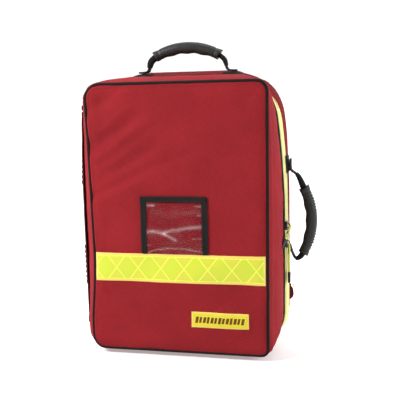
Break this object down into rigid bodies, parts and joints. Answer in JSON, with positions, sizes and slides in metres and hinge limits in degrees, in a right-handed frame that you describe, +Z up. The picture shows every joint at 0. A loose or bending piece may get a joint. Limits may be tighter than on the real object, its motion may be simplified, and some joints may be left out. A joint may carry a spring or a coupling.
{
  "type": "trauma backpack",
  "caption": "Box-shaped first responder backpack with a padded fabric case, book-opening lid, moulded carry grips, reflective band, card window, module pouches and harness.",
  "frame": {"origin": "a point of the base panel's underside, under the zip plane, midway between the sides", "axes": "+Z up, the front panel faces -Y, +X to the side with the carrying grip"},
  "size_m": [0.4197, 0.2345, 0.5508],
  "materials": {
    "red_fabric": "coated woven polyester, slight sheen",
    "black_piping": "woven tape over a round cord",
    "reflective_tape": "fluorescent prismatic reflective tape",
    "black_binding": "woven binding tape",
    "clear_film": "clear soft vinyl film",
    "label_fabric": "woven label",
    "zip_tape": "fluorescent woven zip tape",
    "zip_teeth": "moulded nylon coil",
    "grey_lining": "brushed nylon lining",
    "black_mesh": "open knitted mesh",
    "slider_metal": "black lacquered zinc",
    "dark_red_webbing": "heavy woven webbing",
    "black_rubber": "moulded rubber, ribbed",
    "black_fabric": "coated woven nylon",
    "base_rubber": "coarse tarpaulin with a fine emboss",
    "lime_cord": "braided cord",
    "black_webbing": "woven polyamide webbing",
    "grip_rubber": "satin moulded rubber",
    "pouch_fabric": "woven nylon",
    "black_elastic": "ribbed elastic",
    "spacer_mesh": "knitted spacer mesh",
    "strap_fabric": "padded woven nylon with bound edges",
    "buckle_plastic": "moulded acetal"
  },
  "bodies": {
    "case": {"rear_gusset": "red_fabric", "back_panel": "black_fabric", "rear_piping": "black_piping", "base_panel": "base_rubber", "zip_tape_rear": "zip_tape", "zip_teeth_rear": "zip_teeth", "hinge_strip_rear": "red_fabric", "rear_skids": "black_rubber", "rear_lining": "grey_lining", "top_handle_anchors": "black_webbing", "side_handle_anchors": "black_webbing", "shelf_divider": "grey_lining", "centre_divider": "grey_lining", "pouch_lower_left": "pouch_fabric", "pouch_lower_right": "pouch_fabric", "pouch_upper_left": "pouch_fabric", "pouch_upper_right": "pouch_fabric", "pouch_windows": "clear_film", "retention_straps": "black_elastic", "harness_yoke": "black_fabric", "back_pads": "spacer_mesh", "shoulder_strap_left": "strap_fabric", "shoulder_strap_right": "strap_fabric", "ladder_locks": "buckle_plastic", "lower_webbing_left": "black_webbing", "lower_webbing_right": "black_webbing", "anchor_tabs": "dark_red_webbing", "chest_webbing_left": "black_webbing", "chest_buckle_socket": "buckle_plastic"},
    "lid": {"front_panel": "red_fabric", "front_gusset": "red_fabric", "front_piping": "black_piping", "reflective_band": "reflective_tape", "id_window_frame": "black_binding", "id_window_film": "clear_film", "name_label": "label_fabric", "zip_tape_lid": "black_binding", "zip_teeth_lid": "zip_teeth", "lid_lining": "grey_lining", "mesh_pocket": "black_mesh", "pocket_zip": "zip_teeth", "hinge_strip_lid": "red_fabric", "lid_side_patch": "dark_red_webbing", "lid_skids": "black_rubber"},
    "pocket_runner": {"pocket_slider": "slider_metal"},
    "upper_slider": {"zip_slider_upper": "slider_metal"},
    "lower_slider": {"zip_slider_lower": "slider_metal"},
    "upper_pull": {"upper_pull_cord": "lime_cord", "upper_pull_grip": "black_rubber"},
    "lower_pull": {"lower_pull_cord": "lime_cord", "lower_pull_grip": "black_rubber"},
    "top_handle": {"top_handle_webbing": "black_webbing", "top_handle_grip": "grip_rubber"},
    "side_handle": {"side_handle_webbing": "black_webbing", "side_handle_grip": "grip_rubber"},
    "chest_clip": {"chest_buckle_clip": "buckle_plastic", "chest_webbing_right": "black_webbing"}
  },
  "joints": [
    {"name": "lid_hinge", "type": "hinge", "parent": "case", "child": "lid", "pos_m": [-0.187, 0, 0.25], "axis": [0, 0, -1], "range_deg": [0, 175]},
    {"name": "pocket_zip_slide", "type": "slide", "parent": "lid", "child": "pocket_runner", "axis": [1, 0, 0], "range_m": [0, 0.232]},
    {"name": "upper_slider_slide", "type": "slide", "parent": "case", "child": "upper_slider", "axis": [0, 0, 1], "range_m": [0, 0.14]},
    {"name": "lower_slider_slide", "type": "slide", "parent": "case", "child": "lower_slider", "axis": [0, 0, -1], "range_m": [0, 0.115]},
    {"name": "upper_pull_swing", "type": "hinge", "parent": "upper_slider", "child": "upper_pull", "pos_m": [0.1861, 0, 0.222], "axis": [0, -0.7193, 0.6947], "range_deg": [0, 100]},
    {"name": "lower_pull_swing", "type": "hinge", "parent": "lower_slider", "child": "lower_pull", "pos_m": [0.1861, 0, 0.19], "axis": [0, -1, 0], "range_deg": [0, 110]},
    {"name": "top_handle_fold", "type": "hinge", "parent": "case", "child": "top_handle", "pos_m": [0, 0.022, 0.5035], "axis": [1, 0, 0], "range_deg": [-65, 65]},
    {"name": "side_handle_fold", "type": "hinge", "parent": "case", "child": "side_handle", "pos_m": [0.192, 0.022, 0.24], "axis": [0, 0, 1], "range_deg": [-8, 60]},
    {"name": "chest_clip_release", "type": "slide", "parent": "case", "child": "chest_clip", "axis": [1, 0, 0], "range_m": [0, 0.022]}
  ]
}
